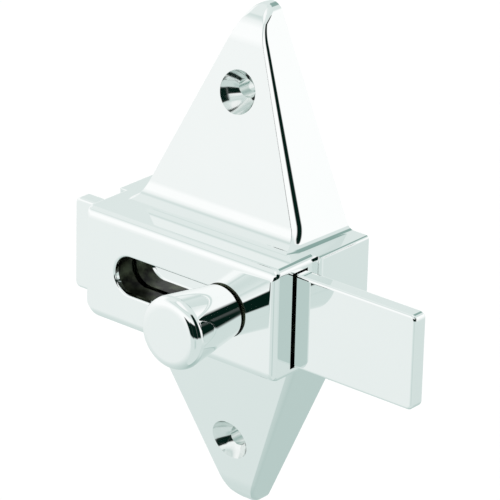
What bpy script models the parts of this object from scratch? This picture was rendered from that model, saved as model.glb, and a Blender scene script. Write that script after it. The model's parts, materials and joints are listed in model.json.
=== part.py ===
"""Surface-mounted partition-door slide latch: a die-cast housing with two tapering screw flanges,
a flat bolt that slides through it, and a tapered knob in a slot.

Units are metres. X runs along the bolt, Y runs back towards the door, Z is up.
The origin is the middle of the flat back, so the knob points to -Y.
"""

from math import acos, asin, cos, pi, radians, sin, sqrt, tan

import bmesh
import bpy
from mathutils import Matrix, Vector

MM = 0.001

# Housing
FRONT_LENGTH = 66.5 * MM        # front block, along the bolt
RIGHT_STEP = 1.8 * MM           # the rear block stands out this much past the front block
LEFT_STEP = 2.5 * MM
HEIGHT = 31.75 * MM
DEPTH = 36.3 * MM               # front face to door face
REAR_DEPTH = 20.1 * MM          # rear block, step to door face
WALL = 2.6 * MM
FRONT_EDGE_RADIUS = 3.0 * MM    # along the top and bottom of the front face
CORNER_RADIUS = 1.9 * MM        # upright edges of the front face
END_EDGE_RADIUS = 0.9 * MM      # edges round the end faces
BIG_CORNER_RADIUS = 5.5 * MM    # the lower left corner of the front block

# Flanges
FLANGE_HALF_WIDTH = 28.4 * MM   # where a flange meets the block
FLANGE_HEIGHT = 57.2 * MM       # from the block to the tip
FLANGE_SETBACK = 15.3 * MM      # flange face behind the front face, at the block
FLANGE_LEAN = radians(12.2)
FLANGE_EDGE_ACROSS = 1.3 * MM   # rounding from the flange face to its sides, seen from the front
FLANGE_EDGE_BACK = 4.8 * MM     # the same rounding, seen from the side
TIP_RADIUS = 4.0 * MM
TIP_FALL = 9.6 * MM             # height over which the face curves back to the tip
TIP_LAND = 1.2 * MM             # thickness left at the tip
FRONT_FILLET = 6.7 * MM
SIDE_FILLET = 2.5 * MM

# Screw holes
HOLE_SPACING = 101.6 * MM
HOLE_DIAMETER = 5.6 * MM
SINK_DIAMETER = 11.9 * MM
SINK_ANGLE = radians(82.0)      # full angle of the countersink
BOSS_DIAMETER = 11.0 * MM
RIB_THICKNESS = 2.4 * MM

# Bolt and its channel
BOLT_LENGTH = 116.7 * MM
BOLT_HEIGHT = 26.5 * MM
BOLT_THICKNESS = 4.76 * MM
BOLT_THROW = 39.4 * MM          # how far it stands out of the front block when thrown
BOLT_SETBACK = 7.95 * MM        # bolt face behind the front face
BOLT_CORNER_RADIUS = 1.7 * MM
BOLT_EDGE_RADIUS = 0.7 * MM
CHANNEL_FRONT_GAP = 0.9 * MM
CHANNEL_BACK_GAP = 0.5 * MM
CHANNEL_SIDE_GAP = 0.35 * MM

# Knob
KNOB_FROM_RIGHT = 17.9 * MM     # knob axis from the right end of the front block, bolt thrown
KNOB_BASE_DIAMETER = 15.1 * MM
KNOB_DIAMETER = 20.1 * MM
KNOB_LENGTH = 21.4 * MM         # from the front face of the housing
KNOB_RIM_RADIUS = 3.0 * MM
KNOB_BASE_GAP = 0.4 * MM
SHANK_DIAMETER = 10.4 * MM
SHANK_CLEARANCE = 0.5 * MM
STUD_DIAMETER = 6.0 * MM
STUD_DEPTH = 11.0 * MM          # how far the stud reaches into the knob, from its shank end
TRAVEL = 32.2 * MM

# Friction spring
SPRING_LENGTH = 36.0 * MM
SPRING_WIDTH = 10.0 * MM
SPRING_THICKNESS = 0.5 * MM
SPRING_BOW = 1.2 * MM
SEAT_GAP = 0.3 * MM

# Places that follow from the sizes
FRONT_Y = -DEPTH
BLOCK_TOP = HEIGHT / 2
BOLT_FRONT_Y = FRONT_Y + BOLT_SETBACK
BOLT_BACK_Y = BOLT_FRONT_Y + BOLT_THICKNESS
BOLT_RIGHT_X = FRONT_LENGTH / 2 + BOLT_THROW
CHANNEL_FRONT_Y = BOLT_FRONT_Y - CHANNEL_FRONT_GAP
CHANNEL_BACK_Y = BOLT_BACK_Y + CHANNEL_BACK_GAP
KNOB_X = FRONT_LENGTH / 2 - KNOB_FROM_RIGHT
SLOT_RADIUS = SHANK_DIAMETER / 2 + SHANK_CLEARANCE
HOLE_Z = HOLE_SPACING / 2

ARC_STEPS = 8


def new_collection(name):
    collection = bpy.data.collections.new(name)
    bpy.context.scene.collection.children.link(collection)
    return collection


def material(name, colour, roughness, metallic):
    made = bpy.data.materials.new(name)
    made.use_nodes = True
    shader = made.node_tree.nodes["Principled BSDF"]
    shader.inputs["Base Color"].default_value = (*colour, 1)
    shader.inputs["Roughness"].default_value = roughness
    shader.inputs["Metallic"].default_value = metallic
    return made


def mesh_object(name, bm, collection):
    bmesh.ops.recalc_face_normals(bm, faces=bm.faces)
    mesh = bpy.data.meshes.new(name)
    bm.to_mesh(mesh)
    bm.free()
    made = bpy.data.objects.new(name, mesh)
    collection.objects.link(made)
    return made


def box_mesh(x, y, z):
    """A box from its three (low, high) spans."""
    bm = bmesh.new()
    size = Vector((x[1] - x[0], y[1] - y[0], z[1] - z[0]))
    middle = Vector((sum(x), sum(y), sum(z))) / 2
    bmesh.ops.create_cube(bm, size=1, matrix=Matrix.Translation(middle) @ Matrix.Diagonal((*size, 1)))
    return bm


def weight_edges(bm, radius_of, widest):
    """Gives each edge a bevel weight from the radius that its two face normals call for."""
    layer = bm.edges.layers.float.new("bevel_weight_edge")
    for edge in bm.edges:
        normals = frozenset(tuple(round(v) for v in face.normal) for face in edge.link_faces)
        edge[layer] = radius_of.get(normals, 0.0) / widest


def bevel(obj, width, segments, by_weight=False, angle=radians(40)):
    made = obj.modifiers.new("Bevel", "BEVEL")
    made.width = width
    made.segments = segments
    made.limit_method = "WEIGHT" if by_weight else "ANGLE"
    made.angle_limit = angle
    made.use_clamp_overlap = False
    return made


def boolean(obj, other, operation):
    made = obj.modifiers.new(f"{operation.title()} {other.name}", "BOOLEAN")
    made.operation = operation
    made.object = other
    made.solver = "EXACT"
    return made


def as_helper(obj):
    obj.hide_render = True
    obj.display_type = "WIRE"
    return obj


LEFT, RIGHT = (-1, 0, 0), (1, 0, 0)
FRONT, BACK = (0, -1, 0), (0, 1, 0)
DOWN, UP = (0, 0, -1), (0, 0, 1)


def edge_between(*normals):
    return frozenset(normals)


def front_block(collection):
    """The block that holds the bolt, with its front edges rounded."""
    half = FRONT_LENGTH / 2
    overlap = CHANNEL_FRONT_GAP
    bm = box_mesh((-half, half), (FRONT_Y, -REAR_DEPTH + overlap), (-BLOCK_TOP, BLOCK_TOP))
    bm.normal_update()
    radii = {edge_between(FRONT, UP): FRONT_EDGE_RADIUS, edge_between(FRONT, DOWN): FRONT_EDGE_RADIUS}
    for end in (LEFT, RIGHT):
        radii[edge_between(FRONT, end)] = CORNER_RADIUS
        radii[edge_between(end, UP)] = END_EDGE_RADIUS
        radii[edge_between(end, DOWN)] = END_EDGE_RADIUS
    radii[edge_between(LEFT, DOWN)] = BIG_CORNER_RADIUS
    weight_edges(bm, radii, BIG_CORNER_RADIUS)
    made = mesh_object("front_block", bm, collection)
    bevel(made, BIG_CORNER_RADIUS, ARC_STEPS, by_weight=True)
    return as_helper(made)


def rear_block(collection):
    """The slightly longer block between the front block and the door."""
    ends = (-FRONT_LENGTH / 2 - LEFT_STEP, FRONT_LENGTH / 2 + RIGHT_STEP)
    bm = box_mesh(ends, (-REAR_DEPTH, 0), (-BLOCK_TOP, BLOCK_TOP))
    bm.normal_update()
    radii = {}
    for end in (LEFT, RIGHT):
        for side in (UP, DOWN, FRONT):
            radii[edge_between(end, side)] = END_EDGE_RADIUS
    weight_edges(bm, radii, END_EDGE_RADIUS)
    made = mesh_object("rear_block", bm, collection)
    bevel(made, END_EDGE_RADIUS, 4, by_weight=True)
    return as_helper(made)


def side_angle():
    """Angle of a flange's sides from upright, which makes them tangent to the round tip."""
    centre = FLANGE_HEIGHT - TIP_RADIUS
    reach = sqrt(FLANGE_HALF_WIDTH ** 2 + centre ** 2)
    return acos(centre / reach) - asin(TIP_RADIUS / reach)


def tip_start():
    """The rise at which the straight sides end and the round tip begins."""
    return FLANGE_HEIGHT - TIP_RADIUS + TIP_RADIUS * sin(side_angle())


def flange_half_width(rise, inset):
    """Half the width of the flange at a rise above the block."""
    if inset == 0 and rise > tip_start():
        above = rise - (FLANGE_HEIGHT - TIP_RADIUS)
        return sqrt(TIP_RADIUS ** 2 - above ** 2)
    return FLANGE_HALF_WIDTH - tan(side_angle()) * rise - inset / cos(side_angle())


def face_y(rise):
    """Where the flange's face lies at a rise: a leaning plane that curves back to the tip."""
    plane = FRONT_Y + FLANGE_SETBACK + tan(FLANGE_LEAN) * rise
    into_fall = max(rise - (FLANGE_HEIGHT - TIP_FALL), 0) / TIP_FALL
    top_plane = FRONT_Y + FLANGE_SETBACK + tan(FLANGE_LEAN) * FLANGE_HEIGHT
    return plane + (-TIP_LAND - top_plane) * (1 - sqrt(1 - into_fall ** 2))


def flare(rise, radius, lean):
    """How far a concave fillet stands out from a leaning face at a rise above its foot."""
    reach = tan(pi / 4 - lean / 2)
    if rise >= radius * reach * cos(lean):
        return 0.0
    return radius * reach + tan(lean) * rise - sqrt(radius ** 2 - (radius - rise) ** 2)


def flange_section(rise, inset):
    """Points of one level of the flange, from its back right corner round the front to the back left."""
    half = flange_half_width(rise, inset)
    front = face_y(max(rise, 0)) + inset / cos(FLANGE_LEAN)
    back = WALL if inset else 0.0
    nose = min(max(rise - (FLANGE_HEIGHT - TIP_RADIUS), 0) * 2 / TIP_RADIUS, 1)
    across = min(FLANGE_EDGE_ACROSS + (half - FLANGE_EDGE_ACROSS) * nose, half * 0.9)
    deep = min(FLANGE_EDGE_BACK - inset, (back - front) * 0.8)
    if inset == 0 and rise >= 0:
        half += flare(rise, SIDE_FILLET, side_angle())
        front -= flare(rise, FRONT_FILLET, FLANGE_LEAN)
    right = [(half, back)]
    for step in range(ARC_STEPS + 1):
        turn = pi / 2 * step / ARC_STEPS
        right.append((half - across + across * cos(turn), front + deep - deep * sin(turn)))
    left = [(-x, y) for x, y in reversed(right)]
    return right + left


def flange_rises(inset):
    """Levels of the loft: close together in the fillets and where the face curves back."""
    if inset:
        return [0.0, FLANGE_HEIGHT - TIP_FALL - inset]
    levels = [-WALL]
    for radius, lean in ((SIDE_FILLET, side_angle()), (FRONT_FILLET, FLANGE_LEAN)):
        levels += [radius * (1 - cos((pi / 2 - lean) * step / ARC_STEPS)) for step in range(ARC_STEPS + 1)]
    fall = FLANGE_HEIGHT - TIP_FALL
    levels += [FRONT_FILLET + (fall - FRONT_FILLET) * step / 6 for step in range(1, 7)]
    levels += [fall + TIP_FALL * sin(radians(86) * step / ARC_STEPS) for step in range(1, ARC_STEPS + 1)]
    tip_turns = [side_angle() + (radians(86) - side_angle()) * step / 5 for step in range(6)]
    levels += [FLANGE_HEIGHT - TIP_RADIUS + TIP_RADIUS * sin(turn) for turn in tip_turns]
    spaced = []
    for level in sorted(levels):
        if not spaced or level - spaced[-1] > 0.02 * MM:
            spaced.append(level)
    return spaced


def flange_loft(name, inset, side, collection):
    """The tapering flange, lofted level by level. Side is 1 for the upper and -1 for the lower."""
    bm = bmesh.new()
    rings = []
    for rise in flange_rises(inset):
        z = side * (BLOCK_TOP + rise)
        rings.append([bm.verts.new((x, y, z)) for x, y in flange_section(rise, inset)])
    for low, high in zip(rings, rings[1:]):
        for i in range(len(low)):
            j = (i + 1) % len(low)
            bm.faces.new((low[i], low[j], high[j], high[i]))
    bm.faces.new(rings[0])
    bm.faces.new(rings[-1])
    return as_helper(mesh_object(name, bm, collection))


def prism_y(name, outline, y, collection):
    """An outline in X and Z, drawn out along Y."""
    bm = bmesh.new()
    face = bm.faces.new([bm.verts.new((x, y[0], z)) for x, z in outline])
    grown = bmesh.ops.extrude_face_region(bm, geom=[face])
    moved = [item for item in grown["geom"] if isinstance(item, bmesh.types.BMVert)]
    bmesh.ops.translate(bm, verts=moved, vec=(0, y[1] - y[0], 0))
    return mesh_object(name, bm, collection)


def arc(centre, radius, start, end, steps):
    return [
        (
            centre[0] + radius * cos(start + (end - start) * i / steps),
            centre[1] + radius * sin(start + (end - start) * i / steps),
        )
        for i in range(steps + 1)
    ]


def slot_outline(left, right, radius, steps):
    return arc((right, 0), radius, -pi / 2, pi / 2, steps) + arc((left, 0), radius, pi / 2, 3 * pi / 2, steps)


def turned(name, profile, steps, collection):
    """A profile of (radius, distance along the axis), turned about Y. Distance grows towards the front."""
    mesh = bpy.data.meshes.new(name)
    points = [(radius, 0, along) for radius, along in profile]
    edges = [(i, i + 1) for i in range(len(points) - 1)]
    mesh.from_pydata(points, edges, [])
    made = bpy.data.objects.new(name, mesh)
    collection.objects.link(made)
    screw = made.modifiers.new("Screw", "SCREW")
    screw.axis = "Z"
    screw.steps = steps
    screw.render_steps = steps
    screw.use_merge_vertices = True
    screw.merge_threshold = 0.00001
    made.rotation_euler = (pi / 2, 0, 0)
    return made


def hole_face_y():
    return face_y(HOLE_Z - BLOCK_TOP)


def screw_hole(side, cutters):
    """The plain hole, drilled square to the door."""
    radius = HOLE_DIAMETER / 2
    profile = [(0, DEPTH), (radius, DEPTH), (radius, -WALL), (0, -WALL)]
    name = "upper_hole_cutter" if side > 0 else "lower_hole_cutter"
    made = turned(name, profile, 40, cutters)
    made.location = (0, 0, side * HOLE_Z)
    return as_helper(made)


def countersink(side, cutters):
    """The cone for the screw's head, cut square to the leaning face."""
    radius = SINK_DIAMETER / 2
    slope = tan(SINK_ANGLE / 2)
    tip = HOLE_DIAMETER / 5
    depth = (radius - tip) / slope
    profile = [(0, WALL), (radius + WALL * slope, WALL), (tip, -depth), (0, -depth)]
    name = "upper_countersink" if side > 0 else "lower_countersink"
    made = turned(name, profile, 56, cutters)
    made.location = (0, hole_face_y(), side * HOLE_Z)
    made.rotation_euler = (pi / 2 - side * FLANGE_LEAN, 0, 0)
    return as_helper(made)


def pair(cutter_of, cutters):
    """The upper and the lower cutter of a kind, as one helper."""
    upper = cutter_of(1, cutters)
    boolean(upper, cutter_of(-1, cutters), "UNION")
    return upper


def boss(side, cutters):
    """The post round a screw hole, from inside the flange face back to the door."""
    front = hole_face_y() + WALL / 2
    radius = BOSS_DIAMETER / 2
    name = "upper_boss" if side > 0 else "lower_boss"
    made = turned(name, [(0, -front), (radius, -front), (radius, 0), (0, 0)], 40, cutters)
    made.location = (0, 0, side * HOLE_Z)
    return as_helper(made)


def block_pocket(cutters):
    """The hollow behind the bolt channel, open towards the door."""
    half = FRONT_LENGTH / 2 - WALL
    top = BLOCK_TOP - WALL
    bm = box_mesh((-half, half), (CHANNEL_BACK_Y + 1.5 * WALL, WALL), (-top, top))
    made = mesh_object("block_pocket", bm, cutters)
    bevel(made, WALL / 2, 3)
    return as_helper(made)


def block_rib(cutters):
    """The web that stiffens the channel wall against the door."""
    half = RIB_THICKNESS / 2
    top = BLOCK_TOP - WALL / 2
    bm = box_mesh((-half, half), (CHANNEL_BACK_Y + WALL / 2, 0), (-top, top))
    return as_helper(mesh_object("block_rib", bm, cutters))


def channel(cutters):
    half = FRONT_LENGTH / 2 + 2 * WALL
    top = BOLT_HEIGHT / 2 + CHANNEL_SIDE_GAP
    bm = box_mesh((-half, half), (CHANNEL_FRONT_Y, CHANNEL_BACK_Y), (-top, top))
    return as_helper(mesh_object("bolt_channel", bm, cutters))


def knob_slot(cutters):
    """The slot that the knob's shank travels in."""
    outline = slot_outline(KNOB_X - TRAVEL, KNOB_X, SLOT_RADIUS, 16)
    made = prism_y("knob_slot", outline, (FRONT_Y - WALL, CHANNEL_FRONT_Y + CHANNEL_FRONT_GAP / 2), cutters)
    return as_helper(made)


def spring_pocket(cutters):
    """A shallow seat in the back wall of the channel, for the ends of the leaf spring."""
    half = SPRING_LENGTH / 2 + 2 * SEAT_GAP
    top = SPRING_WIDTH / 2 + SEAT_GAP
    deep = SPRING_THICKNESS + SPRING_BOW + 2 * SEAT_GAP - CHANNEL_BACK_GAP
    bm = box_mesh((-half, half), (CHANNEL_BACK_Y - CHANNEL_BACK_GAP / 2, CHANNEL_BACK_Y + deep), (-top, top))
    return as_helper(mesh_object("spring_pocket", bm, cutters))


def housing(parts, cutters):
    """One casting: both blocks and both flanges, hollow towards the door."""
    made = flange_loft("housing", 0, 1, parts)
    made.hide_render = False
    made.display_type = "TEXTURED"
    for other in (
        flange_loft("lower_flange", 0, -1, cutters),
        rear_block(cutters),
        front_block(cutters),
    ):
        boolean(made, other, "UNION")
    for side, name in ((1, "upper_pocket"), (-1, "lower_pocket")):
        boolean(made, flange_loft(name, WALL, side, cutters), "DIFFERENCE")
    boolean(made, block_pocket(cutters), "DIFFERENCE")
    boolean(made, block_rib(cutters), "UNION")
    boolean(made, pair(boss, cutters), "UNION")
    for cutter in (channel(cutters), knob_slot(cutters), spring_pocket(cutters)):
        boolean(made, cutter, "DIFFERENCE")
    boolean(made, pair(countersink, cutters), "DIFFERENCE")
    boolean(made, pair(screw_hole, cutters), "DIFFERENCE")
    made.data.materials.append(material("polished_chrome_casting", (0.86, 0.88, 0.88), 0.05, 1.0))
    return made


def slide_bolt(parts, cutters):
    """The flat bar, with rounded ends and a tapped hole for the knob's stud."""
    left = BOLT_RIGHT_X - BOLT_LENGTH
    half = BOLT_HEIGHT / 2
    r = BOLT_CORNER_RADIUS
    outline = (
        arc((BOLT_RIGHT_X - r, -half + r), r, -pi / 2, 0, 6)
        + arc((BOLT_RIGHT_X - r, half - r), r, 0, pi / 2, 6)
        + arc((left + r, half - r), r, pi / 2, pi, 6)
        + arc((left + r, -half + r), r, pi, 3 * pi / 2, 6)
    )
    outline = [(x - KNOB_X, z) for x, z in outline]
    made = prism_y("slide_bolt", outline, (-BOLT_THICKNESS / 2, BOLT_THICKNESS / 2), parts)
    made.location = (KNOB_X, (BOLT_FRONT_Y + BOLT_BACK_Y) / 2, 0)
    bevel(made, BOLT_EDGE_RADIUS, 4)
    hole = stud_hole_cutter("bolt_hole_cutter", -BOLT_BACK_Y - WALL, -BOLT_FRONT_Y + SEAT_GAP, cutters)
    boolean(made, hole, "DIFFERENCE")
    made.data.materials.append(material("polished_chrome_bolt", (0.87, 0.89, 0.89), 0.04, 1.0))
    return made


def stud_hole_cutter(name, low, high, cutters):
    radius = STUD_DIAMETER / 2 + SEAT_GAP
    made = turned(name, [(0, high), (radius, high), (radius, low), (0, low)], 32, cutters)
    made.location = (KNOB_X, 0, 0)
    return as_helper(made)


def knob(parts, cutters):
    """Turned knob: a shank in the slot, a cone that widens towards the hand, and a rounded rim."""
    shank_end = -BOLT_FRONT_Y + SEAT_GAP
    base = DEPTH + KNOB_BASE_GAP
    front = DEPTH + KNOB_LENGTH
    widest = KNOB_DIAMETER / 2
    r = KNOB_RIM_RADIUS
    rim = arc((widest - r, front - r), r, pi / 2, 0, ARC_STEPS)
    profile = [(0, front)] + rim + [
        (KNOB_BASE_DIAMETER / 2, base + SEAT_GAP),
        (KNOB_BASE_DIAMETER / 2 - SEAT_GAP, base),
        (SHANK_DIAMETER / 2, base),
        (SHANK_DIAMETER / 2, shank_end),
        (0, shank_end),
    ]
    made = turned("knob", profile, 72, parts)
    made.location = (KNOB_X, 0, 0)
    hole = stud_hole_cutter("knob_hole_cutter", shank_end - WALL, shank_end + STUD_DEPTH + SEAT_GAP, cutters)
    boolean(made, hole, "DIFFERENCE")
    made.data.materials.append(material("polished_chrome_knob", (0.86, 0.88, 0.88), 0.05, 1.0))
    return made


def knob_stud(parts):
    """Threaded stud that joins the knob to the bolt, here with its outer diameter only."""
    radius = STUD_DIAMETER / 2
    chamfer = STUD_DIAMETER / 10
    front = -BOLT_FRONT_Y + SEAT_GAP + STUD_DEPTH
    back = -BOLT_BACK_Y
    profile = [
        (0, front),
        (radius - chamfer, front),
        (radius, front - chamfer),
        (radius, back + chamfer),
        (radius - chamfer, back),
        (0, back),
    ]
    made = turned("knob_stud", profile, 32, parts)
    made.location = (KNOB_X, 0, 0)
    made.data.materials.append(material("zinc_plated_stud", (0.62, 0.63, 0.62), 0.35, 1.0))
    return made


def friction_spring(parts):
    """Bowed strip that presses on the back of the bolt, so that it stays where it is put."""
    half = SPRING_LENGTH / 2
    radius = (half * half + SPRING_BOW * SPRING_BOW) / (2 * SPRING_BOW)
    spread = acos((radius - SPRING_BOW) / radius)
    crown_y = BOLT_BACK_Y + SEAT_GAP
    bm = bmesh.new()
    strip = []
    steps = 16
    for step in range(steps + 1):
        turn = -spread + 2 * spread * step / steps
        x = radius * sin(turn)
        y = crown_y + radius - radius * cos(turn)
        strip.append([bm.verts.new((x, y, z)) for z in (-SPRING_WIDTH / 2, SPRING_WIDTH / 2)])
    for first, second in zip(strip, strip[1:]):
        bm.faces.new((first[0], second[0], second[1], first[1]))
    made = mesh_object("friction_spring", bm, parts)
    if made.data.polygons[0].normal.y > 0:
        made.data.flip_normals()
    solid = made.modifiers.new("Solidify", "SOLIDIFY")
    solid.thickness = SPRING_THICKNESS
    solid.offset = -1
    made.data.materials.append(material("spring_steel", (0.55, 0.56, 0.58), 0.3, 1.0))
    return made


def smooth(obj):
    obj.data.shade_smooth()
    obj.data.set_sharp_from_angle(angle=radians(32))


def main():
    for old in list(bpy.data.objects):
        bpy.data.objects.remove(old, do_unlink=True)
    parts = new_collection("slide_latch")
    cutters = new_collection("slide_latch_cutters")
    made = [
        housing(parts, cutters),
        slide_bolt(parts, cutters),
        knob(parts, cutters),
        knob_stud(parts),
        friction_spring(parts),
    ]
    for obj in made:
        smooth(obj)


main()
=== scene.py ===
# Slide bolt for a partition door: polished chrome, seen in a white light tent.
# X runs along the bolt, Y runs back towards the door, Z is up. Lengths are in millimetres,
# angles in degrees, and shader distances in metres.
import json
from math import acos, asin, cos, hypot, pi, radians, sin, sqrt, tan

import bmesh
import bpy
from mathutils import Matrix, Vector

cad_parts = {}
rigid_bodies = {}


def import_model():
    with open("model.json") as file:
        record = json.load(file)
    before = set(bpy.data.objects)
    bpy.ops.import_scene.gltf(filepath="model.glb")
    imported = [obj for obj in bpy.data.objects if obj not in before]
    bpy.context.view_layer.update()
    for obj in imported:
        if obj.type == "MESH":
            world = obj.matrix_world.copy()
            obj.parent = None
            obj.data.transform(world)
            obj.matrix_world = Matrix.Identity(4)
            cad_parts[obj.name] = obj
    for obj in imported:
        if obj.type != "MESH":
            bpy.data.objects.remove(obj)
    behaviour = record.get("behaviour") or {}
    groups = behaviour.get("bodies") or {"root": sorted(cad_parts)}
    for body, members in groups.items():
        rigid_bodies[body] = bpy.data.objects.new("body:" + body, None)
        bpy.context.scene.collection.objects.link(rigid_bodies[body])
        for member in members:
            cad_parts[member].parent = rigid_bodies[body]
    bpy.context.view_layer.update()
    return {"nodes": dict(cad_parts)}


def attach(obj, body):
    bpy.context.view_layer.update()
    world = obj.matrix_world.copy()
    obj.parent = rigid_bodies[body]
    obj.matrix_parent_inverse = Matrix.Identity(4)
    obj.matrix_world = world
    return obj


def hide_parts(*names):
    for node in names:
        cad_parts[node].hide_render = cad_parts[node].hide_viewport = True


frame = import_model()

mm = 0.001
print("frame loaded")


cameraView = {
    "azimuth": 39.658,  # round from straight in front, towards the thrown end of the bolt
    "elevation": 23.087,
    "roll": 1.430,
    "distance": 960.49,  # from the aim
    "aim": (1.75, -16.3, -0.125),
    "slide": (4.945, 6.666),  # sideways and up
    "focalPixels": 3591.55,
    "framePixels": 500,
    "sensor": 36,
    "clip": (50, 20000),
}


def makeCamera(view):
    azimuth, elevation, roll = (radians(view[key]) for key in ("azimuth", "elevation", "roll"))
    back = Vector((sin(azimuth) * cos(elevation), -cos(azimuth) * cos(elevation), sin(elevation)))
    level = Vector((cos(azimuth), sin(azimuth), 0))
    upright = back.cross(level)
    right = level * cos(roll) + upright * sin(roll)
    up = upright * cos(roll) - level * sin(roll)
    across, upwards = view["slide"]
    place = Vector(view["aim"]) + right * across + up * upwards + back * view["distance"]
    lens = bpy.data.cameras.new("photoCamera")
    lens.sensor_width = view["sensor"]
    lens.lens = view["focalPixels"] / view["framePixels"] * view["sensor"]
    lens.clip_start, lens.clip_end = (limit * mm for limit in view["clip"])
    made = bpy.data.objects.new("photoCamera", lens)
    turn = Matrix((right, up, back)).transposed().to_4x4()
    made.matrix_world = Matrix.Translation(place * mm) @ turn
    bpy.context.scene.collection.objects.link(made)
    bpy.context.scene.camera = made


makeCamera(cameraView)
print("camera set")


def newGroup(name, ins, outs):
    # an input whose value is None is a vector, and every other socket is a number
    group = bpy.data.node_groups.new(name, "ShaderNodeTree")
    for label, value in ins:
        kind = "NodeSocketVector" if value is None else "NodeSocketFloat"
        socket = group.interface.new_socket(label, in_out="INPUT", socket_type=kind)
        if value is not None:
            socket.default_value = value
    for label in outs:
        group.interface.new_socket(label, in_out="OUTPUT", socket_type="NodeSocketFloat")
    return group, group.nodes.new("NodeGroupInput"), group.nodes.new("NodeGroupOutput")


def addMath(tree, operation, first, second=None, clamp=False):
    node = tree.nodes.new("ShaderNodeMath")
    node.operation = operation
    node.use_clamp = clamp
    for socket, value in zip(node.inputs, (first, second)):
        if value is None:
            continue
        if isinstance(value, (int, float)):
            socket.default_value = value
        else:
            tree.links.new(value, socket)
    return node.outputs[0]


noiseDetail = {"haze": 4.0, "wave": 1.0, "grain": 5.0, "blotch": 3.0}


def addNoise(tree, vector, scale, detail):
    node = tree.nodes.new("ShaderNodeTexNoise")
    tree.links.new(vector, node.inputs["Vector"])
    tree.links.new(scale, node.inputs["Scale"])
    node.inputs["Detail"].default_value = detail
    return node.outputs[0]


def makePolishGroup():
    # faint haze and hairlines that buffing leaves, and the soft waves of a thin casting
    group, given, out = newGroup(
        "buffedPolish",
        (
            ("Vector", None),
            ("Roughness", 0.04),
            ("Haze", 0.02),
            ("Haze Scale", 60.0),
            ("Wave Scale", 45.0),
        ),
        ("Roughness", "Wave", "Tone"),
    )
    vector = given.outputs["Vector"]
    haze = addNoise(group, vector, given.outputs["Haze Scale"], noiseDetail["haze"])
    smear = addMath(group, "MULTIPLY", haze, given.outputs["Haze"])
    roughness = addMath(group, "ADD", smear, given.outputs["Roughness"])
    group.links.new(roughness, out.inputs["Roughness"])
    wave = addNoise(group, vector, given.outputs["Wave Scale"], noiseDetail["wave"])
    group.links.new(wave, out.inputs["Wave"])
    group.links.new(haze, out.inputs["Tone"])
    return group


blotchStretch = {"from": 0.42, "by": 4.0}


def makeGrainGroup():
    # fine grain of an unpolished casting or a plated pressing
    group, given, out = newGroup(
        "castGrain",
        (("Vector", None), ("Scale", 900.0), ("Blotch Scale", 70.0)),
        ("Height", "Blotch"),
    )
    vector = given.outputs["Vector"]
    height = addNoise(group, vector, given.outputs["Scale"], noiseDetail["grain"])
    group.links.new(height, out.inputs["Height"])
    blotch = addNoise(group, vector, given.outputs["Blotch Scale"], noiseDetail["blotch"])
    above = addMath(group, "SUBTRACT", blotch, blotchStretch["from"])
    stretched = addMath(group, "MULTIPLY", above, blotchStretch["by"], clamp=True)
    group.links.new(stretched, out.inputs["Blotch"])
    return group


polishGroup = makePolishGroup()
grainGroup = makeGrainGroup()


def placeGroup(tree, group, values):
    node = tree.nodes.new("ShaderNodeGroup")
    node.node_tree = group
    coordinates = tree.nodes.new("ShaderNodeTexCoord")
    tree.links.new(coordinates.outputs["Object"], node.inputs["Vector"])
    for label, value in values.items():
        node.inputs[label].default_value = value
    return node


def mixColours(tree, factor, first, second):
    node = tree.nodes.new("ShaderNodeMix")
    node.data_type = "RGBA"
    tree.links.new(factor, node.inputs["Factor"])
    node.inputs["A"].default_value = (*first, 1)
    node.inputs["B"].default_value = (*second, 1)
    return node.outputs["Result"]


def addBump(tree, height, strength, distance):
    node = tree.nodes.new("ShaderNodeBump")
    node.inputs["Strength"].default_value = strength
    node.inputs["Distance"].default_value = distance
    tree.links.new(height, node.inputs["Height"])
    return node.outputs["Normal"]


chromeLook = {
    "colour": (0.930, 0.953, 0.948),
    "cloud": (0.950, 0.967, 0.963),
    "roughness": 0.012,
    "haze": 0.012,
    "hazeScale": 60.0,
    "waveDistance": 0.00002,
}
# inside the countersinks the plating is thin and hardly buffed, so rougher and hazier; its darker
# colour is painted shade in the recess
sinkLook = {
    "colour": (0.76, 0.81, 0.79),
    "cloud": (0.93, 0.95, 0.945),
    "roughness": 0.05,
    "haze": 0.12,
    "hazeScale": 260.0,
    "waveDistance": 0.00006,
}


def chromeMaterial(name, look, waveStrength):
    made = bpy.data.materials.new(name)
    made.use_nodes = True
    tree = made.node_tree
    shader = tree.nodes["Principled BSDF"]
    sockets = {"Roughness": "roughness", "Haze": "haze", "Haze Scale": "hazeScale"}
    values = {socket: look[key] for socket, key in sockets.items()}
    polish = placeGroup(tree, polishGroup, values)
    shader.inputs["Metallic"].default_value = 1
    colour = mixColours(tree, polish.outputs["Tone"], look["colour"], look["cloud"])
    tree.links.new(colour, shader.inputs["Base Color"])
    tree.links.new(polish.outputs["Roughness"], shader.inputs["Roughness"])
    normal = addBump(tree, polish.outputs["Wave"], waveStrength, look["waveDistance"])
    tree.links.new(normal, shader.inputs["Normal"])
    return made


castGrain = {"scale": 1100.0, "blotchScale": 210.0, "bump": 0.35, "bumpDistance": 0.0001}
# painted shade: near-black colour with random olive blotches, standing in for the shade inside
# the channel, the deep slot wall, the spring seat and under the knob
recessShadeLook = {
    "dark": (0.003, 0.004, 0.002),
    "light": (0.078, 0.095, 0.056),
    "roughness": 0.4,
    "metallic": 0.7,
}


def castMaterial(name, look):
    made = bpy.data.materials.new(name)
    made.use_nodes = True
    tree = made.node_tree
    shader = tree.nodes["Principled BSDF"]
    values = {"Scale": castGrain["scale"], "Blotch Scale": castGrain["blotchScale"]}
    grain = placeGroup(tree, grainGroup, values)
    shader.inputs["Metallic"].default_value = look["metallic"]
    shader.inputs["Roughness"].default_value = look["roughness"]
    colour = mixColours(tree, grain.outputs["Blotch"], look["dark"], look["light"])
    tree.links.new(colour, shader.inputs["Base Color"])
    normal = addBump(tree, grain.outputs["Height"], castGrain["bump"], castGrain["bumpDistance"])
    tree.links.new(normal, shader.inputs["Normal"])
    return made


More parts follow.
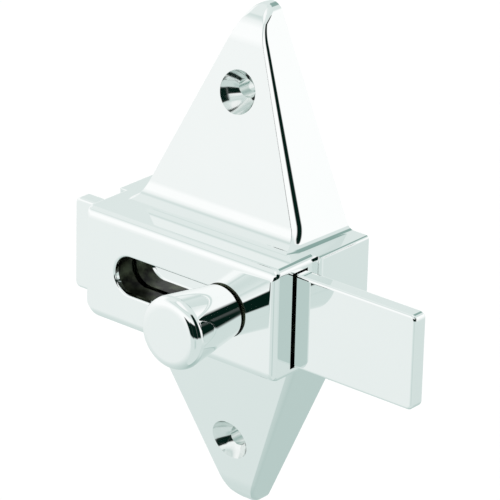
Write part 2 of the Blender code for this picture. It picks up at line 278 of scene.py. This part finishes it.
hollowLook = {
    "dark": (0.30, 0.31, 0.30),
    "light": (0.42, 0.43, 0.42),
    "roughness": 0.42,
    "metallic": 0.9,
}
zincLook = {
    "dark": (0.46, 0.47, 0.46),
    "light": (0.62, 0.63, 0.61),
    "roughness": 0.32,
    "metallic": 1.0,
}
springLook = {
    "dark": (0.30, 0.31, 0.33),
    "light": (0.46, 0.47, 0.49),
    "roughness": 0.28,
    "metallic": 1.0,
}

# a thin casting is wavier than a flat bar or a turned knob
waviness = {"casting": 0.10, "bolt": 0.05, "knob": 0.04, "sink": 0.5}
chromeCasting = chromeMaterial("polishedChromeCasting", chromeLook, waviness["casting"])
chromeBolt = chromeMaterial("polishedChromeBolt", chromeLook, waviness["bolt"])
chromeKnob = chromeMaterial("polishedChromeKnob", chromeLook, waviness["knob"])
chromeSink = chromeMaterial("chromeSink", sinkLook, waviness["sink"])
recessShade = castMaterial("recessShade", recessShadeLook)
castHollow = castMaterial("castHollow", hollowLook)
zincPlate = castMaterial("zincPlate", zincLook)
springSteel = castMaterial("springSteel", springLook)
print("materials made")


pieces = bpy.data.collections.new("slideBolt")
cutters = bpy.data.collections.new("slideBoltCutters")
for group in (pieces, cutters):
    bpy.context.scene.collection.children.link(group)
# material slots of the casting, which its cutters share
# the recess slot carries painted shade
polished, recess, hollow, sunk = range(4)


def giveCasting(mesh):
    for material in (chromeCasting, recessShade, castHollow, chromeSink):
        mesh.materials.append(material)


def objectFrom(bm, name, home, slot=polished):
    bmesh.ops.recalc_face_normals(bm, faces=bm.faces)
    for face in bm.faces:
        face.material_index = slot
    mesh = bpy.data.meshes.new(name)
    bm.to_mesh(mesh)
    bm.free()
    giveCasting(mesh)
    made = bpy.data.objects.new(name, mesh)
    home.objects.link(made)
    return made


def boxMesh(x, y, z):
    bm = bmesh.new()
    size = Vector((x[1] - x[0], y[1] - y[0], z[1] - z[0])) * mm
    middle = Vector((sum(x), sum(y), sum(z))) * mm / 2
    place = Matrix.Translation(middle) @ Matrix.Diagonal((*size, 1))
    bmesh.ops.create_cube(bm, size=1, matrix=place)
    bm.normal_update()
    return bm


def roundEdges(made, bm, radiusOf, steps):
    # one bevel whose width each edge takes from the two faces that it joins
    widest = max(radiusOf.values())
    layer = bm.edges.layers.float.new("bevel_weight_edge")
    for line in bm.edges:
        sides = frozenset(tuple(round(v) for v in face.normal) for face in line.link_faces)
        line[layer] = radiusOf.get(sides, 0.0) / widest
    bm.to_mesh(made.data)
    bm.free()
    bevel = made.modifiers.new("Bevel", "BEVEL")
    bevel.width = widest * mm
    bevel.segments = steps
    bevel.limit_method = "WEIGHT"
    bevel.use_clamp_overlap = False


def roundedBox(name, spans, radiusOf, steps, home, slot=polished):
    made = objectFrom(boxMesh(*spans), name, home, slot)
    bm = bmesh.new()
    bm.from_mesh(made.data)
    bm.normal_update()
    roundEdges(made, bm, radiusOf, steps)
    return made


def ringLoft(rings, name, home, slot=polished):
    # closed solid through rings of points that all have the same count
    bm = bmesh.new()
    loops = [[bm.verts.new(Vector(point) * mm) for point in ring] for ring in rings]
    for low, high in zip(loops, loops[1:]):
        for i in range(len(low)):
            j = (i + 1) % len(low)
            bm.faces.new((low[i], low[j], high[j], high[i]))
    bm.faces.new(loops[0])
    bm.faces.new(loops[-1])
    return objectFrom(bm, name, home, slot)


def arcPoints(centre, radius, start, end, steps):
    turns = [start + (end - start) * i / steps for i in range(steps + 1)]
    return [(centre[0] + radius * cos(turn), centre[1] + radius * sin(turn)) for turn in turns]


seamGap = 0.000001  # metres


def turnedPiece(name, profile, steps, home, slot=polished):
    # profile of (radius, distance towards the front), turned about Y
    mesh = bpy.data.meshes.new(name)
    points = [(radius * mm, 0, along * mm) for radius, along in profile]
    mesh.from_pydata(points, [(i, i + 1) for i in range(len(points) - 1)], [])
    made = bpy.data.objects.new(name, mesh)
    home.objects.link(made)
    screw = made.modifiers.new("Screw", "SCREW")
    screw.axis = "Z"
    screw.steps = steps
    screw.render_steps = steps
    screw.use_merge_vertices = True
    screw.merge_threshold = seamGap
    made.rotation_euler = (pi / 2, 0, 0)
    solid = bakedMesh(made)
    made.modifiers.clear()
    made.data = solid
    giveCasting(solid)
    for polygon in solid.polygons:
        polygon.material_index = slot
    return made


def bakedMesh(made):
    bpy.context.view_layer.update()
    evaluated = made.evaluated_get(bpy.context.evaluated_depsgraph_get())
    return bpy.data.meshes.new_from_object(evaluated)


def carve(made, other, operation):
    change = made.modifiers.new(operation.title(), "BOOLEAN")
    change.operation = operation
    change.object = other
    change.solver = "EXACT"
    change.material_mode = "INDEX"


weighing = {"weight": 100, "threshold": 0.0001}


def finishPiece(made, sharpAngle, material=None):
    # bakes the modifiers, and gives flat faces their own normals right up to the round edges;
    # a piece without a material of its own keeps the casting's slots
    solid = bakedMesh(made)
    made.modifiers.clear()
    made.data = solid
    made.data.transform(made.matrix_world)
    made.matrix_world = Matrix.Identity(4)
    if material:
        solid.materials.clear()
        solid.materials.append(material)
    solid.shade_smooth()
    solid.set_sharp_from_angle(angle=radians(sharpAngle))
    weigh = made.modifiers.new("WeightedNormal", "WEIGHTED_NORMAL")
    weigh.mode = "FACE_AREA"
    weigh.weight = weighing["weight"]
    weigh.thresh = weighing["threshold"]
    weigh.keep_sharp = True
    made.data = bakedMesh(made)
    made.modifiers.clear()


left, right = (-1, 0, 0), (1, 0, 0)
front, down, up = (0, -1, 0), (0, 0, -1), (0, 0, 1)


def edge(*sides):
    # an edge of a box is named by the two faces that meet there
    return frozenset(sides)


block = {
    "length": 66.5,
    "height": 31.75,
    "depth": 36.3,  # front face to door
    "rearDepth": 20.1,  # the longer rear part
    "overlap": 0.9,  # of the front part with the rear part
    "leftStep": 2.5,
    "rightStep": 1.8,
    "wall": 2.6,
    "frontEdge": 3.0,  # rounding along the top and bottom of the front face
    "corner": 1.9,
    "endEdge": 0.9,
    "rightEndEdge": 1.7,
    "stepEdge": 1.3,
    "lowerLeftCorner": 5.5,
    "channelFront": 7.05,  # bolt channel, behind the front face
    "channelBack": 13.21,
    "channelHalf": 13.6,
    "slotRight": 15.35,  # middle of the slot's right end
    "slotTravel": 32.2,
    "slotRadius": 5.5,
    "slotLip": 0.7,
    "slotBright": 1.6,  # depth to which the slot's wall stays chrome; deeper in it takes painted shade
    "slotSteps": 40,
    "lipSteps": 8,
    "breakThrough": 0.45,  # how far the slot's cutter runs into the channel
    "seatHalf": (18.6, 5.3),  # of the spring's seat behind the channel
    "seatDepth": 1.8,
    "seatOverlap": 0.25,
    "ribThickness": 2.4,
    "steps": 18,
    "rearSteps": 8,
    "hollowSteps": 5,
    "hollowBehind": 1.5,  # walls left behind the channel
    "sharpAngle": 30,
}
flange = {
    "halfWidth": 28.4,  # at the block
    "height": 57.185,
    "setback": 15.3,  # face behind the block's front face, at the block
    "lean": 12.2,
    "draft": 2.5,  # the sides lean in towards the face
    "bandRadius": 12.0,  # slight roundness of the sides near the face
    "bandStart": 69.6,  # turn from the face at the crease
    "bandShrink": 0.7,  # share of the band's radius that is lost at the tip
    "bandShare": 0.8,  # most of the depth that the band may take
    "creaseRadius": 0.12,
    "creaseSteps": 6,
    "tipCrease": 0.5,  # the crease's radius at the tip, as a share of the width or depth
    "faceShare": 0.04,  # least share of the width that stays flat
    "tipRadius": 4.0,
    "tipFall": 9.6,
    "tipLand": 1.2,
    "tipTurn": 87,  # where the tip's rounding stops
    "levelGap": 0.03,
    "frontFillet": 6.7,
    "sideFillet": 2.5,
    "steps": 22,
    "holeSpacing": 101.6,
    "holeDiameter": 5.6,
    "sinkDiameter": 11.9,
    "sinkAngle": 82.0,
    "sinkLip": 0.2,
    "sinkDish": 0.22,  # how far the cone's wall is hollowed
    "sinkSteps": 14,
    "sinkAgree": 0.9,  # cosine within which a face counts as the cone's wall
    "sinkTip": 1.12,  # radius at which the cone's cutter ends, inside the bore
    "lipSteps": 5,
    "turnSteps": 96,
    "boreSteps": 72,
    "boreReach": 36.0,  # how far in front of the door the bore's cutter starts
    "bossSteps": 64,
    "bossDiameter": 11.0,
}

frontY = -block["depth"]
blockTop = block["height"] / 2
holeZ = flange["holeSpacing"] / 2
lean = radians(flange["lean"])


def sideAngle():
    centre = flange["height"] - flange["tipRadius"]
    reach = hypot(flange["halfWidth"], centre)
    return acos(centre / reach) - asin(flange["tipRadius"] / reach)


def flangeHalf(rise, inset):
    centre = flange["height"] - flange["tipRadius"]
    if inset == 0 and rise > centre + flange["tipRadius"] * sin(sideAngle()):
        return sqrt(flange["tipRadius"] ** 2 - (rise - centre) ** 2)
    return flange["halfWidth"] - tan(sideAngle()) * rise - inset / cos(sideAngle())


def faceY(rise):
    # leaning plane that falls back to the tip
    plane = frontY + flange["setback"] + tan(lean) * rise
    top = frontY + flange["setback"] + tan(lean) * flange["height"]
    fallen = max(rise - (flange["height"] - flange["tipFall"]), 0) / flange["tipFall"]
    return plane + (-flange["tipLand"] - top) * (1 - sqrt(1 - fallen**2))


def flare(rise, radius, slope):
    # how far a fillet stands out from a sloping face
    reach = tan(pi / 4 - slope / 2)
    if rise >= radius * reach * cos(slope):
        return 0.0
    return radius * reach + tan(slope) * rise - sqrt(radius**2 - (radius - rise) ** 2)


def flangeRing(rise, inset, side):
    # outline at one height above the block; inset is the wall outside a hollow, or 0
    half = flangeHalf(rise, inset)
    face = faceY(max(rise, 0)) + inset / cos(lean)
    rear = block["wall"] if inset else 0.0
    if inset == 0 and rise >= 0:
        half += flare(rise, flange["sideFillet"], sideAngle())
        face -= flare(rise, flange["frontFillet"], lean)
    # nose goes from 0 to 1 over the lower half of the round tip
    above = max(rise - (flange["height"] - flange["tipRadius"]), 0)
    nose = min(above * 2 / flange["tipRadius"], 1)
    depth = rear - face
    drafted = radians(90 - flange["draft"] * (1 - nose))
    start = radians(flange["bandStart"])
    wanted = flange["bandRadius"] * (1 - flange["bandShrink"] * nose)
    radius = min(wanted, flange["bandShare"] * depth / (cos(start) - cos(drafted)), half)
    blunt = flange["tipCrease"] * min(half, depth)
    crease = flange["creaseRadius"] * (1 - nose) + blunt * nose
    # centre of the band's arc, then of the small rounding between it and the face
    centreY = face + crease * (1 - cos(start)) + radius * cos(start)
    centreX = (half * sin(drafted) - radius + (centreY - rear) * cos(drafted)) / sin(drafted)
    roundX, roundY = centreX + (radius - crease) * sin(start), face + crease
    steps = flange["steps"]
    ring = [(half, rear)]
    for i in range(steps + 1):
        turn = drafted + (start - drafted) * i / steps
        ring.append((centreX + radius * sin(turn), centreY - radius * cos(turn)))
    for i in range(1, flange["creaseSteps"] + 1):
        turn = start * (1 - i / flange["creaseSteps"])
        x = max(roundX + crease * sin(turn), flange["faceShare"] * half)
        ring.append((x, roundY - crease * cos(turn)))
    ring += [(-x, y) for x, y in reversed(ring)]
    return [(x, y, side * (blockTop + rise)) for x, y in ring]


def flangeRises(inset):
    # heights of the outlines, close together where the form curves
    if inset:
        return [0.0, flange["height"] - flange["tipFall"] - inset]
    steps = flange["steps"]
    height, tip, fall = flange["height"], flange["tipRadius"], flange["tipFall"]
    levels = [-block["wall"]]
    for radius, slope in ((flange["sideFillet"], sideAngle()), (flange["frontFillet"], lean)):
        levels += [radius * (1 - cos((pi / 2 - slope) * i / steps)) for i in range(steps + 1)]
    level, last = height - fall, radians(flange["tipTurn"])
    levels += [level + fall * sin(last * i / steps) for i in range(steps + 1)]
    turns = [sideAngle() + (last - sideAngle()) * i / steps for i in range(steps + 1)]
    levels += [height - tip + tip * sin(turn) for turn in turns]
    spaced = []
    for level in sorted(levels):
        if not spaced or level - spaced[-1] > flange["levelGap"]:
            spaced.append(level)
    return spaced


def flangeSolid(name, inset, side, home, slot=polished):
    rings = [flangeRing(rise, inset, side) for rise in flangeRises(inset)]
    return ringLoft(rings, name, home, slot)


def blockSolids():
    half, steps = block["length"] / 2, block["steps"]
    rearY = -block["rearDepth"] + block["overlap"]
    frontSpans = ((-half, half), (frontY, rearY), (-blockTop, blockTop))
    radiusOf = {edge(front, up): block["frontEdge"], edge(front, down): block["frontEdge"]}
    for end in (left, right):
        radiusOf[edge(front, end)] = block["corner"]
        radiusOf[edge(end, up)] = block["endEdge"]
        radiusOf[edge(end, down)] = block["endEdge"]
    radiusOf[edge(left, down)] = block["lowerLeftCorner"]
    radiusOf[edge(right, up)] = radiusOf[edge(right, down)] = block["rightEndEdge"]
    frontPart = roundedBox("frontBlock", frontSpans, radiusOf, steps, cutters)
    rearSpans = (
        (-half - block["leftStep"], half + block["rightStep"]),
        (-block["rearDepth"], 0),
        (-blockTop, blockTop),
    )
    radiusOf = {edge(end, side): block["endEdge"] for end in (left, right) for side in (up, down)}
    radiusOf.update({edge(end, front): block["stepEdge"] for end in (left, right)})
    return roundedBox("rearBlock", rearSpans, radiusOf, block["rearSteps"], cutters), frontPart


def slotCutter():
    # stadium outline whose mouth flares out into a small round lip
    lip, steps = block["slotLip"], block["lipSteps"]
    brightY = frontY + block["slotBright"]
    mouth = [(frontY - block["wall"], lip)]
    for i in range(steps + 1):
        turn = pi / 2 * i / steps
        mouth.append((frontY + lip - lip * cos(turn), lip - lip * sin(turn)))
    mouth += [(brightY, 0), (frontY + block["channelFront"] + block["breakThrough"], 0)]
    rightX, leftX = block["slotRight"], block["slotRight"] - block["slotTravel"]
    rings = []
    for y, wider in mouth:
        radius = block["slotRadius"] + wider
        outline = arcPoints((rightX, 0), radius, -pi / 2, pi / 2, block["slotSteps"])
        outline += arcPoints((leftX, 0), radius, pi / 2, 3 * pi / 2, block["slotSteps"])
        rings.append([(x, y, z) for x, z in outline])
    # painted shade: the slot's wall deeper than brightY takes the near-black recess material
    made = ringLoft(rings, "knobSlot", cutters, recess)
    for polygon in made.data.polygons:
        if polygon.center.y < brightY * mm:
            polygon.material_index = polished
    return made


def channelCutter():
    half = block["length"] / 2 + 2 * block["wall"]
    y = (frontY + block["channelFront"], frontY + block["channelBack"])
    top = block["channelHalf"]
    # the channel's walls take the painted shade of the recess slot
    return objectFrom(boxMesh((-half, half), y, (-top, top)), "boltChannel", cutters, recess)


def springSeat():
    wallY = frontY + block["channelBack"]
    y = (wallY - block["seatOverlap"], wallY + block["seatDepth"])
    half, top = block["seatHalf"]
    # the spring seat takes the painted shade of the recess slot
    return objectFrom(boxMesh((-half, half), y, (-top, top)), "springSeat", cutters, recess)


def blockHollow():
    half, wall = block["length"] / 2 - block["wall"], block["wall"]
    top = blockTop - wall
    y = (frontY + block["channelBack"] + block["hollowBehind"] * wall, wall)
    sides = (left, right, up, down)
    radiusOf = {edge(a, b): wall / 2 for a in sides for b in sides if a != b}
    radiusOf.update({edge(front, a): wall / 2 for a in sides})
    spans = ((-half, half), y, (-top, top))
    return roundedBox("blockHollow", spans, radiusOf, block["hollowSteps"], cutters, hollow)


def blockRib():
    half, wall = block["ribThickness"] / 2, block["wall"]
    top = blockTop - wall / 2
    y = (frontY + block["channelBack"] + wall / 2, 0)
    return objectFrom(boxMesh((-half, half), y, (-top, top)), "blockRib", cutters, hollow)


def sinkCutter(side):
    # a cone with a small round lip and a slightly hollowed wall
    radius, lip, tip = flange["sinkDiameter"] / 2, flange["sinkLip"], flange["sinkTip"]
    half = radians(flange["sinkAngle"] / 2)
    depth = (radius - tip) / tan(half)
    turn = pi / 2 - half  # from the face round to the cone's wall
    outer = radius + lip * tan(turn / 2)
    profile = [(0, block["wall"]), (outer, block["wall"])]
    for i in range(flange["lipSteps"] + 1):
        turned = turn * i / flange["lipSteps"]
        profile.append((outer - lip * sin(turned), -lip + lip * cos(turned)))
    wide, low = profile[-1]
    steps = flange["sinkSteps"]
    for i in range(1, steps + 1):
        share = i / steps
        bulge = 4 * flange["sinkDish"] * share * (1 - share)
        x = wide + (tip - wide) * share + bulge * sin(turn)
        profile.append((x, low + (-depth - low) * share - bulge * cos(turn)))
    profile.append((0, -depth))
    made = turnedPiece("sink", profile, flange["turnSteps"], cutters, sunk)
    made.location = (0, faceY(holeZ - blockTop) * mm, side * holeZ * mm)
    made.rotation_euler = (pi / 2 - side * lean, 0, 0)
    return made


def boreCutter(side):
    radius, reach, behind = flange["holeDiameter"] / 2, flange["boreReach"], -block["wall"]
    profile = [(0, reach), (radius, reach), (radius, behind), (0, behind)]
    made = turnedPiece("bore", profile, flange["boreSteps"], cutters, sunk)
    made.location = (0, 0, side * holeZ * mm)
    return made


def bossSolid(side):
    face = -(faceY(holeZ - blockTop) + block["wall"] / 2)
    radius = flange["bossDiameter"] / 2
    profile = [(0, face), (radius, face), (radius, 0), (0, 0)]
    made = turnedPiece("boss", profile, flange["bossSteps"], cutters, hollow)
    made.location = (0, 0, side * holeZ * mm)
    return made


def pairOf(solidOf):
    upper = solidOf(1)
    carve(upper, solidOf(-1), "UNION")
    return upper


def roundSinks(mesh):
    # the countersinks keep the smooth normals of a turned face where the bore cuts them
    normals = [corner.vector.copy() for corner in mesh.corner_normals]
    half = radians(flange["sinkAngle"] / 2)
    bore, widest = flange["holeDiameter"] / 2 * mm, flange["sinkDiameter"] / 2 * mm
    dish = 4 * flange["sinkDish"] * mm * sin(half) / (widest - bore)
    for side in (1, -1):
        middle = Vector((0, faceY(holeZ - blockTop), side * holeZ)) * mm
        axis = Vector((0, -cos(lean), side * sin(lean)))
        for polygon in mesh.polygons:
            if polygon.material_index != sunk or polygon.center.z * side < 0:
                continue
            for corner in polygon.loop_indices:
                away = mesh.vertices[mesh.loops[corner].vertex_index].co - middle
                spoke = away - axis * away.dot(axis)
                share = 1 - (spoke.length - bore) / (widest - bore)
                turned = half + dish * (2 * share - 1)
                wanted = axis * sin(turned) - spoke.normalized() * cos(turned)
                if wanted.dot(polygon.normal) > flange["sinkAgree"]:
                    normals[corner] = wanted
    mesh.normals_split_custom_set(normals)


def makeHousing():
    made = flangeSolid("chromeHousing", 0, 1, pieces)
    carve(made, flangeSolid("lowerFlange", 0, -1, cutters), "UNION")
    for solid in blockSolids():
        carve(made, solid, "UNION")
    for side, name in ((1, "upperHollow"), (-1, "lowerHollow")):
        carve(made, flangeSolid(name, block["wall"], side, cutters, hollow), "DIFFERENCE")
    carve(made, blockHollow(), "DIFFERENCE")
    carve(made, blockRib(), "UNION")
    carve(made, pairOf(bossSolid), "UNION")
    for cutter in (channelCutter(), slotCutter(), springSeat()):
        carve(made, cutter, "DIFFERENCE")
    carve(made, pairOf(sinkCutter), "DIFFERENCE")
    carve(made, pairOf(boreCutter), "DIFFERENCE")
    finishPiece(made, block["sharpAngle"])
    roundSinks(made.data)
    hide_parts("housing")
    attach(made, "housing_body")


makeHousing()
print("housing made")


bolt = {
    "length": 116.7,
    "height": 26.5,
    "thickness": 4.76,
    "setback": 7.95,
    "rightEnd": 72.65,
    "corner": 1.7,
    "cornerSteps": 12,
    "edge": 0.9,
    "edgeSteps": 8,
    "sharpAngle": 35,
}


def makeBolt():
    y0 = frontY + bolt["setback"]
    y1 = y0 + bolt["thickness"]
    x1, x0 = bolt["rightEnd"], bolt["rightEnd"] - bolt["length"]
    half, corner, edgeRadius = bolt["height"] / 2, bolt["corner"], bolt["edge"]
    rows = []
    for i in range(bolt["edgeSteps"] + 1):
        turn = pi / 2 * i / bolt["edgeSteps"]
        inset = edgeRadius - edgeRadius * sin(turn)
        rows.append((y0 + edgeRadius - edgeRadius * cos(turn), inset))
    rows += [(y0 + y1 - y, inset) for y, inset in reversed(rows)]
    rings = []
    for y, inset in rows:
        radius = corner - inset
        ring = []
        for x, z, start in (
            (x1 - corner, -half + corner, -pi / 2),
            (x1 - corner, half - corner, 0),
            (x0 + corner, half - corner, pi / 2),
            (x0 + corner, -half + corner, pi),
        ):
            ring += arcPoints((x, z), radius, start, start + pi / 2, bolt["cornerSteps"])
        rings.append([(x, y, z) for x, z in ring])
    made = ringLoft(rings, "chromeBar", pieces)
    finishPiece(made, bolt["sharpAngle"], chromeBolt)
    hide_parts("slide_bolt")
    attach(made, "bolt_body")


makeBolt()
print("bolt made")


knob = {
    "axis": block["slotRight"],  # with the bolt thrown
    "baseDiameter": 15.1,
    "diameter": 20.1,
    "length": 21.4,  # from the housing's front face
    "rim": 3.0,
    "baseGap": 0.4,
    "baseEdge": 0.6,
    "shankDiameter": 10.4,
    "shankEnd": 28.65,  # from the door
    "faceShare": 0.35,  # inner ring of the face, as a share of the radius
    "rimSteps": 20,
    "edgeSteps": 6,
    "turnSteps": 160,
    "sharpAngle": 35,
    "shadedShare": 0.8,  # share of the base edge that takes painted shade
}


def makeKnob():
    base = block["depth"] + knob["baseGap"]
    nose = block["depth"] + knob["length"]
    widest, rim, edgeRadius = knob["diameter"] / 2, knob["rim"], knob["baseEdge"]
    foot, shank = knob["baseDiameter"] / 2, knob["shankDiameter"] / 2
    profile = [(0, nose), (widest * knob["faceShare"], nose)]
    profile += arcPoints((widest - rim, nose - rim), rim, pi / 2, 0, knob["rimSteps"])
    low = (foot - edgeRadius, base + edgeRadius)
    profile += arcPoints(low, edgeRadius, 0, -pi / 2, knob["edgeSteps"])
    profile += [(shank, base), (shank, knob["shankEnd"]), (0, knob["shankEnd"])]
    made = turnedPiece("chromeKnob", profile, knob["turnSteps"], pieces)
    made.location = (knob["axis"] * mm, 0, 0)
    finishPiece(made, knob["sharpAngle"], chromeKnob)
    # painted shade: the knob's underside and most of its base rounding take the near-black recess
    # material, for the shade in the gap against the housing
    made.data.materials.append(recessShade)
    shadeLimit = (base + knob["shadedShare"] * edgeRadius) * mm
    for polygon in made.data.polygons:
        spoke = hypot(polygon.center.x - knob["axis"] * mm, polygon.center.z)
        if -polygon.center.y < shadeLimit and spoke > shank * mm:
            polygon.material_index = recess
    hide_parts("knob")
    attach(made, "bolt_body")


makeKnob()
print("knob made")

for name, material in (("knob_stud", zincPlate), ("friction_spring", springSteel)):
    slots = frame["nodes"][name].data.materials
    slots.clear()
    slots.append(material)

for helper in list(cutters.objects):
    bpy.data.objects.remove(helper, do_unlink=True)
bpy.data.collections.remove(cutters)


tent = {
    # tone by elevation, seen to the left and front, and seen to the right and back
    "leftTones": (
        (-90, 0.60), (-60, 0.72), (-43, 0.80), (-24, 0.895), (-1, 0.955), (12, 1.03), (31, 1.03),
        (41, 0.93), (47.5, 0.74), (51, 0.84), (64, 0.74), (70, 1.0), (90, 1.0),
    ),
    "rightTones": (
        (-90, 0.50), (-45, 0.62), (-24, 0.78), (0, 0.95), (10, 1.03), (27, 1.03), (33, 0.80),
        (90, 0.85),
    ),
    "rightMiddle": 60,  # degrees round from +X towards the door
    "rightReach": (110, 60),  # it fades between these two, either way
    "everyLevel": (-200, 200),
    # parts of the tent with a tone of their own: azimuth from and to, elevation low and high,
    # softness of the edges, tone
    "panels": {
        "frontFloor": (-96, 16, -100, -5, 12, 0.77),
        "lowRight": (16, 62, -62, -30, 20, 0.74),
        "overDoorLeft": (100, 152, 10, 52, 8, 0.82),
        "overHeadLeft": (148, 204, 40, 66, 8, 0.87),
        "openingLeft": (-90, -60, -12, 22, 4, 0.012),
        "openingMiddle": (-62, -24, -10, 26, 4, 0.012),
        "openingRight": (-25, 9, -8, 58, 5, 0.012),
        "gapFarRight": (26, 40, 10, 27, 3, 0.012),
        "besideCove": (82, 120, 36, 50, 6, 0.40),
        "underBolt": (-57, -43, -34, -14, 8, 0.64),
    },
    "tint": (1.42, 1.0, 1.08),  # powers that turn a tone into its colour: darker is greener
}


def makeCardGroup():
    # mask of one soft-edged rectangle of directions, in degrees
    labels = ("Azimuth", "Elevation", "From", "To", "Low", "High", "Soft")
    group, given, out = newGroup("softOpening", [(label, 0.0) for label in labels], ("Mask",))
    get = given.outputs
    middle = addMath(group, "MULTIPLY", addMath(group, "ADD", get["From"], get["To"]), 0.5)
    half = addMath(group, "MULTIPLY", addMath(group, "SUBTRACT", get["To"], get["From"]), 0.5)
    away = addMath(group, "SUBTRACT", get["Azimuth"], middle)
    turned = addMath(group, "FLOORED_MODULO", addMath(group, "ADD", away, 180.0), 360.0)
    away = addMath(group, "SUBTRACT", turned, 180.0)
    inside = addMath(group, "SUBTRACT", half, addMath(group, "ABSOLUTE", away))
    level = addMath(group, "MULTIPLY", addMath(group, "ADD", get["Low"], get["High"]), 0.5)
    tall = addMath(group, "MULTIPLY", addMath(group, "SUBTRACT", get["High"], get["Low"]), 0.5)
    rise = addMath(group, "ABSOLUTE", addMath(group, "SUBTRACT", get["Elevation"], level))
    within = addMath(group, "SUBTRACT", tall, rise)
    masks = []
    for distance in (inside, within):
        share = addMath(group, "DIVIDE", distance, get["Soft"])
        masks.append(addMath(group, "ADD", share, 0.5, clamp=True))
    group.links.new(addMath(group, "MULTIPLY", *masks), out.inputs["Mask"])
    return group


def toneColour(tone):
    return (*(min(tone, 1) ** power + max(tone - 1, 0) for power in tent["tint"]), 1)


def toneRamp(tree, elevation, tones):
    ramp = tree.nodes.new("ShaderNodeValToRGB")
    # the ramp runs from straight down to straight up
    rise = addMath(tree, "ADD", addMath(tree, "DIVIDE", elevation, 180.0), 0.5)
    tree.links.new(rise, ramp.inputs["Fac"])
    stops = ramp.color_ramp.elements
    for angle, tone in tones[1:-1]:
        stops.new(angle / 180 + 0.5).color = toneColour(tone)
    stops[0].color = toneColour(tones[0][1])
    stops[len(stops) - 1].color = toneColour(tones[-1][1])
    return ramp.outputs["Color"]


def makeTent(values):
    world = bpy.data.worlds.new("lightTent")
    bpy.context.scene.world = world
    world.use_nodes = True
    tree = world.node_tree
    nodes, links = tree.nodes, tree.links
    coordinates = nodes.new("ShaderNodeTexCoord")
    split = nodes.new("ShaderNodeSeparateXYZ")
    links.new(coordinates.outputs["Generated"], split.inputs[0])
    x, y, z = split.outputs
    azimuth = addMath(tree, "MULTIPLY", addMath(tree, "ARCTAN2", y, x), 180 / pi)
    elevation = addMath(tree, "MULTIPLY", addMath(tree, "ARCSINE", z), 180 / pi)
    cardGroup = makeCardGroup()

    def opening(values):
        node = nodes.new("ShaderNodeGroup")
        node.node_tree = cardGroup
        links.new(azimuth, node.inputs["Azimuth"])
        links.new(elevation, node.inputs["Elevation"])
        for label, value in zip(("From", "To", "Low", "High", "Soft"), values):
            node.inputs[label].default_value = value
        return node.outputs["Mask"]

    far, near = values["rightReach"]
    reach = (far + near) / 2
    middle = values["rightMiddle"]
    toRight = opening((middle - reach, middle + reach, *values["everyLevel"], far - near))
    shown = toneRamp(tree, elevation, values["leftTones"])

    def cover(mask, below, above):
        mix = nodes.new("ShaderNodeMix")
        mix.data_type = "RGBA"
        links.new(mask, mix.inputs["Factor"])
        links.new(below, mix.inputs["A"])
        if isinstance(above, float):
            mix.inputs["B"].default_value = toneColour(above)
        else:
            links.new(above, mix.inputs["B"])
        return mix.outputs["Result"]

    shown = cover(toRight, shown, toneRamp(tree, elevation, values["rightTones"]))
    for *place, tone in values["panels"].values():
        shown = cover(opening(place), shown, tone)
    # the camera and the floor see plain white
    seen = nodes.new("ShaderNodeLightPath").outputs
    direct = addMath(tree, "MAXIMUM", seen["Is Camera Ray"], seen["Is Diffuse Ray"])
    links.new(cover(direct, shown, 1.0), nodes["Background"].inputs["Color"])
    nodes["Background"].inputs["Strength"].default_value = 1


floorPlace = {
    "height": -250,
    "size": 4000,
    "colour": (0.8, 0.8, 0.8, 1),
    "roughness": 0.9,
    "lift": 0.24,  # glow that the camera alone sees, which brings the floor to white
}


def makeFloor(values):
    bm = bmesh.new()
    bmesh.ops.create_grid(bm, x_segments=1, y_segments=1, size=values["size"] * mm)
    mesh = bpy.data.meshes.new("floor")
    bm.to_mesh(mesh)
    bm.free()
    floor = bpy.data.objects.new("floor", mesh)
    floor.location.z = values["height"] * mm
    floor.visible_glossy = False
    bpy.context.scene.collection.objects.link(floor)
    made = bpy.data.materials.new("paleFloor")
    made.use_nodes = True
    tree = made.node_tree
    shader = tree.nodes["Principled BSDF"]
    shader.inputs["Base Color"].default_value = values["colour"]
    shader.inputs["Roughness"].default_value = values["roughness"]
    shader.inputs["Specular IOR Level"].default_value = 0
    shader.inputs["Emission Color"].default_value = (1, 1, 1, 1)
    seen = tree.nodes.new("ShaderNodeLightPath")
    glow = addMath(tree, "MULTIPLY", seen.outputs["Is Camera Ray"], values["lift"])
    tree.links.new(glow, shader.inputs["Emission Strength"])
    mesh.materials.append(made)


makeTent(tent)
makeFloor(floorPlace)
bpy.context.scene.view_settings.view_transform = "Standard"
print("studio set")

bpy.context.view_layer.update()
